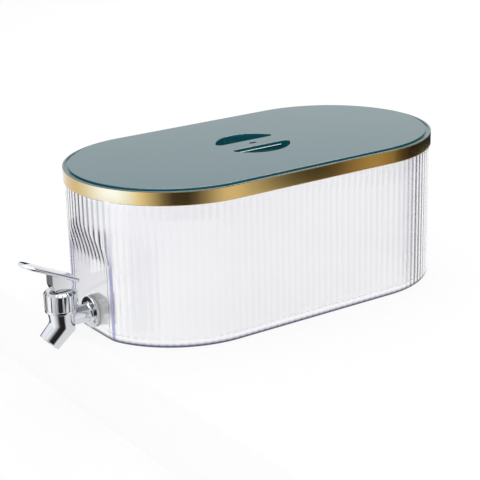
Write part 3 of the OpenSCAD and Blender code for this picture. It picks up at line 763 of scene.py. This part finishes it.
cup_edge = trace(bm, (DISH_R + DISH_T, 0, LID_UNDER), (((0, 0), 2 * math.pi, (0, 0), CUP_STEPS),))
spread(bm, [*under_edge, *cup_edge], False)
cup_depth = LID_UNDER - DISH_FLOOR + DISH_T
cup_floor = cap(bm, cup_edge, False)
push(bm, cup_floor, [(0, 0), *rounded(CUP_ROUND, cup_depth - CUP_ROUND, CUP_ROUND, 180, 90)])
floor_edge = list(cup_floor.edges)
bmesh.ops.delete(bm, geom=[cup_floor], context="FACES_ONLY")
vent_low = vent_slot(bm, LID_UNDER - cup_depth)
spread(bm, [*floor_edge, *vent_low], False)
bmesh.ops.bridge_loops(bm, edges=[*vent_top, *vent_low])
new_piece("teal_lid", bm, teal_abs, "lid", "teal_plastic", "lid_shell")


# Gilt band. A strip of ABS with a vacuum-metallised gilt face, bent round the lid's skirt and snapped on.
# Its edges are rolled over by a quarter of a millimetre.
BAND_T = 0.8 * MM
BAND_ROUND = 0.25 * MM

# Vacuum gilt: a mirror with a warm yellow tint, softened by the lacquer over it and finely uneven. The
# lacquer's grain is drawn coarser than it is, and shows only close up.
GILT = "#c9aa6a"
GILT_GRAIN = 0.5 * MM
GILT_WAVE = 12 * MM

gilt, tree = blank_material("gilt_vacuum_metallised")
place = node(tree, "ShaderNodeTexCoord")
grain = node(tree, "ShaderNodeTexNoise", {
    "Vector": place.outputs["Object"], "Scale": 1 / GILT_GRAIN, "Detail": 3.0})
wave = node(tree, "ShaderNodeTexNoise", {
    "Vector": place.outputs["Object"], "Scale": 1 / GILT_WAVE, "Detail": 1.0})
gloss = node(tree, "ShaderNodeMapRange", {"Value": grain.outputs[0], "To Min": 0.08, "To Max": 0.16})
sag = node(tree, "ShaderNodeBump", {"Height": wave.outputs[0], "Strength": 0.1, "Distance": 0.1 * MM})
skin = node(tree, "ShaderNodeBsdfPrincipled", {
    "Base Color": linear(GILT), "Metallic": 1.0, "Roughness": gloss.outputs[0], "Normal": sag.outputs[0],
    "Coat Weight": 0.3, "Coat Roughness": 0.05})
node(tree, "ShaderNodeOutputMaterial", {"Surface": skin.outputs[0]})

section = [(BAND_OUT - BAND_T, band_high.z), (BAND_OUT - BAND_T, band_low.z)]
section += rounded(BAND_OUT - BAND_ROUND, band_low.z + BAND_ROUND, BAND_ROUND, -90, 0)
section += [(BAND_OUT, band_low.z + BAND_ROUND + FLAT_RIM)]
section += [(BAND_OUT, band_high.z - BAND_ROUND - FLAT_RIM)]
section += rounded(BAND_OUT - BAND_ROUND, band_high.z - BAND_ROUND, BAND_ROUND, 0, 90)
section += section[:1]

bm = bmesh.new()
stadium(bm, CREST_R, LID_SIDE_STEPS, LID_END_STEPS)
loft(bm, section, stadium_point)
new_piece("gilt_trim", bm, gilt, "lid", "gilt_plating", "gilt_band")


# Lid seal and washers. Moulded silicone rings: one between the lid and the neck, and one on each side
# of the panel where the tap goes through it. The cup on the valve's stem is of the same stuff.
# Silicone: milky and soft, with a dull bloom and no clear highlight.
SILICONE = "#d3d5d3"
SILICONE_BLOOM = 1.5 * MM

silicone, tree = blank_material("silicone_moulded")
place = node(tree, "ShaderNodeTexCoord")
bloom = node(tree, "ShaderNodeTexNoise", {
    "Vector": place.outputs["Object"], "Scale": 1 / SILICONE_BLOOM, "Detail": 3.0})
value = node(tree, "ShaderNodeMapRange", {"Value": bloom.outputs[0], "To Min": 0.93, "To Max": 1.05})
shade = node(tree, "ShaderNodeHueSaturation", {"Color": linear(SILICONE), "Value": value.outputs[0]})
dull = node(tree, "ShaderNodeMapRange", {"Value": bloom.outputs[0], "To Min": 0.45, "To Max": 0.6})
skin = node(tree, "ShaderNodeBsdfPrincipled", {
    "Base Color": shade.outputs[0], "Roughness": dull.outputs[0], "IOR": 1.41,
    "Subsurface Weight": 0.2, "Subsurface Radius": (2 * MM, 2 * MM, 2 * MM)})
node(tree, "ShaderNodeOutputMaterial", {"Surface": skin.outputs[0]})


def finish_nodes(material, *names):
    """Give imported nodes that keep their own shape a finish."""
    for name in names:
        nodes[name].material_slots[0].material = material


finish_nodes(silicone, "lid_seal", "outer_washer", "inner_washer", "seat_cup")


# Lock nut, stem guide and valve stem. White acetal, moulded and left plain: the nut clamps the tap to the
# panel from inside, and the guide plugs the barrel and leads the stem.
# Acetal: an opaque waxy white with a satin skin and faint flow marks.
ACETAL = "#eae9e5"
ACETAL_FLOW = 3 * MM

acetal, tree = blank_material("acetal_moulded")
place = node(tree, "ShaderNodeTexCoord")
flow = node(tree, "ShaderNodeTexNoise", {
    "Vector": place.outputs["Object"], "Scale": 1 / ACETAL_FLOW, "Detail": 4.0})
value = node(tree, "ShaderNodeMapRange", {"Value": flow.outputs[0], "To Min": 0.95, "To Max": 1.02})
shade = node(tree, "ShaderNodeHueSaturation", {"Color": linear(ACETAL), "Value": value.outputs[0]})
satin = node(tree, "ShaderNodeMapRange", {"Value": flow.outputs[0], "To Min": 0.3, "To Max": 0.42})
skin = node(tree, "ShaderNodeBsdfPrincipled", {
    "Base Color": shade.outputs[0], "Roughness": satin.outputs[0], "IOR": 1.48})
node(tree, "ShaderNodeOutputMaterial", {"Surface": skin.outputs[0]})
finish_nodes(acetal, "lock_nut", "stem_guide", "valve_stem")


# Sealing rings. Black nitrile cord rings, moulded: one in a groove round the guide, which seals it in the
# barrel, and one round the stem.
# Nitrile: near black, matt, with a fine grey bloom.
NITRILE = "#1c1c1d"
NITRILE_BLOOM = 0.8 * MM

nitrile, tree = blank_material("nitrile_moulded")
place = node(tree, "ShaderNodeTexCoord")
bloom = node(tree, "ShaderNodeTexNoise", {
    "Vector": place.outputs["Object"], "Scale": 1 / NITRILE_BLOOM, "Detail": 3.0})
value = node(tree, "ShaderNodeMapRange", {"Value": bloom.outputs[0], "To Min": 0.8, "To Max": 1.5})
shade = node(tree, "ShaderNodeHueSaturation", {"Color": linear(NITRILE), "Value": value.outputs[0]})
dull = node(tree, "ShaderNodeMapRange", {"Value": bloom.outputs[0], "To Min": 0.5, "To Max": 0.7})
skin = node(tree, "ShaderNodeBsdfPrincipled", {
    "Base Color": shade.outputs[0], "Roughness": dull.outputs[0]})
node(tree, "ShaderNodeOutputMaterial", {"Surface": skin.outputs[0]})
finish_nodes(nitrile, "guide_ring", "stem_ring")


# Spring and lever pin. Drawn stainless wire: a closing spring round the stem, and the pin that the lever
# turns on.
# Drawn stainless: grey metal, with highlights that are softened by fine die marks. They are made coarser
# here than they are, and show only close up.
STAINLESS = "#b9bbbf"
DIE_MARK = 0.2 * MM

stainless, tree = blank_material("stainless_drawn_wire")
place = node(tree, "ShaderNodeTexCoord")
marks = node(tree, "ShaderNodeTexNoise", {
    "Vector": place.outputs["Object"], "Scale": 1 / DIE_MARK, "Detail": 2.0})
satin = node(tree, "ShaderNodeMapRange", {"Value": marks.outputs[0], "To Min": 0.22, "To Max": 0.4})
skin = node(tree, "ShaderNodeBsdfPrincipled", {
    "Base Color": linear(STAINLESS), "Metallic": 1.0, "Roughness": satin.outputs[0]})
node(tree, "ShaderNodeOutputMaterial", {"Surface": skin.outputs[0]})
finish_nodes(stainless, "valve_spring", "lever_pin")
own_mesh(nodes["valve_spring"])


# Tap. Chromed ABS moulded in one: a barrel with a spout mitred to its foot, and a shank with a flange that
# goes through the panel. The bores inside meet at the valve seat.
TAP_X = TAP_SPOT[0]
THREAD_TOP = 33.2 * MM
THREAD_R = 9.6 * MM
COLLAR_Z = 22.2 * MM
BARREL_R = 10.7 * MM
BARREL_BORE_R = 6.4 * MM
KNEE_R = 9.7 * MM
KNEE_Z = 10 * MM
KNEE_RUN = 6 * MM
KNEE_CREASE = 0.35 * MM
SEAT_Z = 11.1 * MM
SEAT_BORE_R = 3.2 * MM
SPOUT_ANGLE = math.radians(42)
SPOUT_LEN = 16.5 * MM
SPOUT_R = 8.65 * MM
SPOUT_BORE_R = 6.3 * MM
SPOUT_BORE_START = 5.5 * MM
TAP_LIP = 0.35 * MM
TAP_SIDES = 96
SHANK_R = 7 * MM
SHANK_BORE_R = 3.5 * MM
BORE_SHAVE = 0.05 * MM
SHANK_END_X = -138 * MM
FLANGE_X = -155.2 * MM
FLANGE_T = 2 * MM
FLANGE_R = 12.2 * MM
FLANGE_ROUND = 0.9 * MM
FLANGE_FILLET = 2 * MM

knee = Vector((TAP_X, 0, KNEE_Z))
spout_dir = Vector((-math.cos(SPOUT_ANGLE), 0, -math.sin(SPOUT_ANGLE)))
spout_side = Vector((math.sin(SPOUT_ANGLE), 0, -math.cos(SPOUT_ANGLE)))
mitre = math.tan((math.pi / 2 - SPOUT_ANGLE) / 2)


def on_barrel(radius, z, slant=0):
    """A ring round the barrel's axis, level or on the slant of the mitre."""
    return Vector((TAP_X, 0, z)), Vector((1, 0, -slant)), radius


def on_spout(radius, along, slant=0):
    """A ring round the spout's axis, square or on the slant of the mitre."""
    return knee + along * spout_dir, spout_side - slant * spout_dir, radius


def ring_point(x, y, station):
    """A point of a ring in the tap's upright plane."""
    middle, side, radius = station
    return middle + radius * (x * side + y * Vector((0, 1, 0)))


def shank_point(x, y, station):
    """A point of a ring round the shank's axis."""
    along, radius = station
    return along, radius * x, SHANK_Z + radius * y


def round_bar(stations, put):
    """A solid round bar, drawn through its rings and closed at both ends."""
    bm = bmesh.new()
    bmesh.ops.create_circle(bm, segments=TAP_SIDES, radius=1)
    loft(bm, stations, put)
    bmesh.ops.holes_fill(bm, edges=[e for e in bm.edges if e.is_boundary], sides=0)
    bmesh.ops.recalc_face_normals(bm, faces=bm.faces)
    return bm


# Bright chrome plate on ABS: a cold mirror, with the slight waviness of the moulding under it. The plate's
# grain is drawn coarser than it is, and shows only close up.
CHROME = "#d4d6da"
CHROME_WAVE = 5 * MM
CHROME_GRAIN = 0.4 * MM

chrome, tree = blank_material("chrome_plated_abs")
place = node(tree, "ShaderNodeTexCoord")
wave = node(tree, "ShaderNodeTexNoise", {
    "Vector": place.outputs["Object"], "Scale": 1 / CHROME_WAVE, "Detail": 1.0})
grain = node(tree, "ShaderNodeTexNoise", {
    "Vector": place.outputs["Object"], "Scale": 1 / CHROME_GRAIN, "Detail": 2.0})
gloss = node(tree, "ShaderNodeMapRange", {"Value": grain.outputs[0], "To Min": 0.04, "To Max": 0.1})
sag = node(tree, "ShaderNodeBump", {"Height": wave.outputs[0], "Strength": 0.12, "Distance": 0.1 * MM})
skin = node(tree, "ShaderNodeBsdfPrincipled", {
    "Base Color": linear(CHROME), "Metallic": 1.0, "Roughness": gloss.outputs[0], "Normal": sag.outputs[0]})
node(tree, "ShaderNodeOutputMaterial", {"Surface": skin.outputs[0]})

spout_taper = (KNEE_R - SPOUT_R) / SPOUT_LEN
rings = [
    on_barrel(BARREL_BORE_R + TAP_LIP, THREAD_TOP),
    on_barrel(THREAD_R - TAP_LIP, THREAD_TOP),
    on_barrel(THREAD_R, THREAD_TOP - TAP_LIP),
    on_barrel(THREAD_R, COLLAR_Z),
    on_barrel(BARREL_R - TAP_LIP, COLLAR_Z),
    on_barrel(BARREL_R, COLLAR_Z - TAP_LIP),
    on_barrel(KNEE_R, KNEE_Z + KNEE_RUN),
    on_barrel(KNEE_R, KNEE_Z + KNEE_CREASE, mitre),
    on_spout(KNEE_R, KNEE_CREASE, mitre),
    on_spout(KNEE_R - KNEE_RUN * spout_taper, KNEE_RUN),
    on_spout(SPOUT_R, SPOUT_LEN - TAP_LIP),
    on_spout(SPOUT_R - TAP_LIP, SPOUT_LEN),
    on_spout(SPOUT_BORE_R + TAP_LIP, SPOUT_LEN),
    on_spout(SPOUT_BORE_R, SPOUT_LEN - TAP_LIP),
    on_spout(SPOUT_BORE_R, SPOUT_BORE_START),
    on_barrel(SEAT_BORE_R, SEAT_Z - SEAT_BORE_R),
    on_barrel(SEAT_BORE_R, SEAT_Z),
    on_barrel(BARREL_BORE_R, SEAT_Z),
    on_barrel(BARREL_BORE_R, THREAD_TOP - TAP_LIP),
]
bm = bmesh.new()
bmesh.ops.create_circle(bm, segments=TAP_SIDES, radius=1)
loft(bm, rings + rings[:1], ring_point)
tap = new_piece("tap_casting", bm, chrome, "tank", "plated_tap", "tap_body")

section = [(TAP_X, SHANK_R)]
section += rounded(FLANGE_X - FLANGE_FILLET, SHANK_R + FLANGE_FILLET, FLANGE_FILLET, -90, 0, 8)
section += rounded(FLANGE_X + FLANGE_T - FLANGE_ROUND, FLANGE_R - FLANGE_ROUND, FLANGE_ROUND, 140, 0, 8)
section += [(FLANGE_X + FLANGE_T, SHANK_R)]
section += [(SHANK_END_X - TAP_LIP, SHANK_R), (SHANK_END_X, SHANK_R - TAP_LIP)]
cut(tap, round_bar(section, shank_point), "UNION")

# The shank's own bore, and the barrel's bores again, because the shank's inner end stands in them.
shank_bore = [(TAP_X, SHANK_BORE_R), (SHANK_END_X + SHANK_R, SHANK_BORE_R)]
cut(tap, round_bar(shank_bore, shank_point))
barrel_bores = [
    on_barrel(SEAT_BORE_R - BORE_SHAVE, SHANK_Z - SHANK_R - TAP_LIP),
    on_barrel(SEAT_BORE_R - BORE_SHAVE, SEAT_Z + BORE_SHAVE),
    on_barrel(BARREL_BORE_R - BORE_SHAVE, SEAT_Z + BORE_SHAVE),
    on_barrel(BARREL_BORE_R - BORE_SHAVE, COLLAR_Z + TAP_LIP),
]
cut(tap, round_bar(barrel_bores, ring_point))


# Collar. A chromed ABS cap, moulded with a plain lip and round grip grooves. It screws on to the barrel's
# thread, holds the guide down and lets the stem through its top.
COLLAR_FIT = 0.05 * MM
COLLAR_LOW = COLLAR_Z + COLLAR_FIT
COLLAR_TOP = 38.35 * MM
COLLAR_INSIDE = COLLAR_TOP - 2.9 * MM
COLLAR_R = 12.6 * MM
COLLAR_CHAMFER = 1.8 * MM
COLLAR_LIP_R = 12.5 * MM
COLLAR_LIP_H = 2.2 * MM
COLLAR_ROUND = 0.3 * MM
THREAD_FIT_R = THREAD_R + COLLAR_FIT
STEM_HOLE_R = 2.8 * MM
GROOVES = 18
GROOVE_W = 1.4 * MM
GROOVE_D = 0.5 * MM
GROOVE_STEPS = 18


def collar_point(x, y, station):
    """A point of the collar, let in where a grip groove runs."""
    radius, z, grooved = station
    turn = math.atan2(y, x) / (2 * math.pi) * GROOVES
    across = abs(turn % 1 - 0.5) * 2 * math.pi * COLLAR_R / GROOVES
    radius -= grooved * GROOVE_D * max(0, 1 - (2 * across / GROOVE_W) ** 2)
    return TAP_X + radius * x, radius * y, z


grip_low = COLLAR_LOW + COLLAR_LIP_H
chamfer_low = COLLAR_TOP - COLLAR_CHAMFER
# Each corner has a centre, the angles between which it turns, and the share of the grooves' depth on it.
corners = (
    (COLLAR_LIP_R - COLLAR_ROUND, COLLAR_LOW + COLLAR_ROUND, -90, 0, 0),
    (COLLAR_LIP_R - COLLAR_ROUND, grip_low - COLLAR_ROUND, 0, 60, 0),
    (COLLAR_R - COLLAR_ROUND, grip_low + COLLAR_ROUND, -90, 0, 1),
    (COLLAR_R - COLLAR_ROUND, chamfer_low - COLLAR_ROUND / 2, 0, 45, 1),
    (COLLAR_R - COLLAR_CHAMFER - COLLAR_ROUND, COLLAR_TOP - COLLAR_ROUND, 45, 90, 0.5),
    (STEM_HOLE_R + COLLAR_ROUND, COLLAR_TOP - COLLAR_ROUND, 90, 180, 0),
)
section = [(THREAD_FIT_R, COLLAR_LOW, 0)]
for radius, z, start, end, grooved in corners:
    section += [(*point, grooved) for point in rounded(radius, z, COLLAR_ROUND, start, end)]
section += [(STEM_HOLE_R, COLLAR_INSIDE, 0), (THREAD_FIT_R, COLLAR_INSIDE, 0)]
bm = bmesh.new()
bmesh.ops.create_circle(bm, segments=GROOVES * GROOVE_STEPS, radius=1)
loft(bm, section + section[:1], collar_point)
new_piece("grip_collar", bm, chrome, "tank", "plated_tap", "tap_collar")


# Lever. A chromed ABS blade with a web under it, moulded in one. The web is forked over the stem's eye,
# turns on the pin, and lifts the stem when its curved foot rolls on the collar.
PIN = Vector((TAP_X, 0, 42.35 * MM))
PIN_R = 1.55 * MM
PIN_HOLE_L = 9.5 * MM
PIN_SIDES = 48
LEVER_SLOPE = math.radians(24.5)
LEVER_W = 20 * MM
LEVER_T = 2.6 * MM
LEVER_FRONT = 38 * MM
LEVER_BACK = 10.5 * MM
LEVER_RISE = 6.6 * MM
LEVER_CORNER = 3 * MM
LEVER_CROWN = ((2.0 * MM, 0.08 * MM), (2.7 * MM, 0.12 * MM))
WEB_T = 10 * MM
WEB_FRONT = 8.3 * MM
WEB_BACK = 7.5 * MM
WEB_ROUND = 0.6 * MM
CAM_H = 3.7 * MM
CAM_RISE = 4 * MM
CAM_SWING = math.radians(30)
CAM_STEPS = 6
SLOT_LOW = Vector((-5.4, -2.3, -7.4)) * MM
SLOT_HIGH = Vector((3.1, 2.3, 3.1)) * MM


def cam_point(angle):
    """A point of the web's foot, which lifts the stem at a steady rate as the lever turns."""
    height = CAM_H + CAM_RISE * angle
    return (-height * math.sin(angle) - CAM_RISE * math.cos(angle),
            -height * math.cos(angle) + CAM_RISE * math.sin(angle))


def blade_middle(x):
    """Height of the blade's middle over the pin."""
    return (LEVER_RISE + LEVER_T / 2) / math.cos(LEVER_SLOPE) - x * math.tan(LEVER_SLOPE)


half_w = LEVER_W / 2
half_t = LEVER_T / 2
tip_x = half_w - LEVER_FRONT
corner_x = LEVER_BACK - LEVER_CORNER
corner_y = half_w - LEVER_CORNER
bm = bmesh.new()
outline = trace(bm, (tip_x, -half_w, LEVER_RISE + half_t), (
    ((0, 0), 0, (corner_x - tip_x, 0), 12),
    ((corner_x, -corner_y), math.pi / 2, (0, 0), 8),
    ((0, 0), 0, (0, 2 * corner_y), 6),
    ((corner_x, corner_y), math.pi / 2, (0, 0), 8),
    ((0, 0), 0, (tip_x - corner_x, 0), 12),
    ((tip_x, 0), math.pi, (0, 0), 40),
))
edge = [*rounded(half_t, 0, half_t, 180, 90, 6), (half_t + FLAT_RIM, half_t)]
push(bm, cap(bm, outline, True), edge + [(inset, half_t + rise) for inset, rise in LEVER_CROWN])
push(bm, cap(bm, [e for e in bm.edges if e.is_boundary], False), edge)
bmesh.ops.rotate(bm, matrix=Matrix.Rotation(LEVER_SLOPE, 3, "Y"), verts=bm.verts)
bmesh.ops.translate(bm, vec=PIN, verts=bm.verts)
lever = new_piece("push_lever", bm, chrome, "lever", "plated_tap", "tap_lever")

foot = [cam_point(CAM_SWING * i / CAM_STEPS) for i in range(CAM_STEPS + 1)]
profile = [(WEB_BACK, -CAM_H), *foot, (-WEB_FRONT, CAM_H / 2), (-WEB_FRONT, blade_middle(-WEB_FRONT)),
           (WEB_BACK, blade_middle(WEB_BACK))]
bm = bmesh.new()
stretch(bm, [(x, -WEB_T / 2, z) for x, z in profile], (0, WEB_T, 0))
bmesh.ops.recalc_face_normals(bm, faces=bm.faces)
bmesh.ops.bevel(bm, geom=bm.edges[:], offset=WEB_ROUND, affect="EDGES", segments=3, profile=0.5,
                material=-1, clamp_overlap=True)
flats = [f for f in bm.faces if f.calc_area() > WEB_ROUND * WEB_T]
bmesh.ops.inset_individual(bm, faces=flats, thickness=FLAT_RIM, use_even_offset=True)
bmesh.ops.translate(bm, vec=PIN, verts=bm.verts)
cut(lever, bm, "UNION")

bm = bmesh.new()
bmesh.ops.create_cube(bm, size=1)
bmesh.ops.scale(bm, vec=SLOT_HIGH - SLOT_LOW, verts=bm.verts)
bmesh.ops.translate(bm, vec=PIN + (SLOT_LOW + SLOT_HIGH) / 2, verts=bm.verts)
cut(lever, bm)

bm = bmesh.new()
bmesh.ops.create_cone(bm, cap_ends=True, segments=PIN_SIDES, radius1=PIN_R, radius2=PIN_R, depth=PIN_HOLE_L)
bmesh.ops.rotate(bm, matrix=Matrix.Rotation(math.pi / 2, 3, "X"), verts=bm.verts)
bmesh.ops.translate(bm, vec=PIN, verts=bm.verts)
cut(lever, bm)
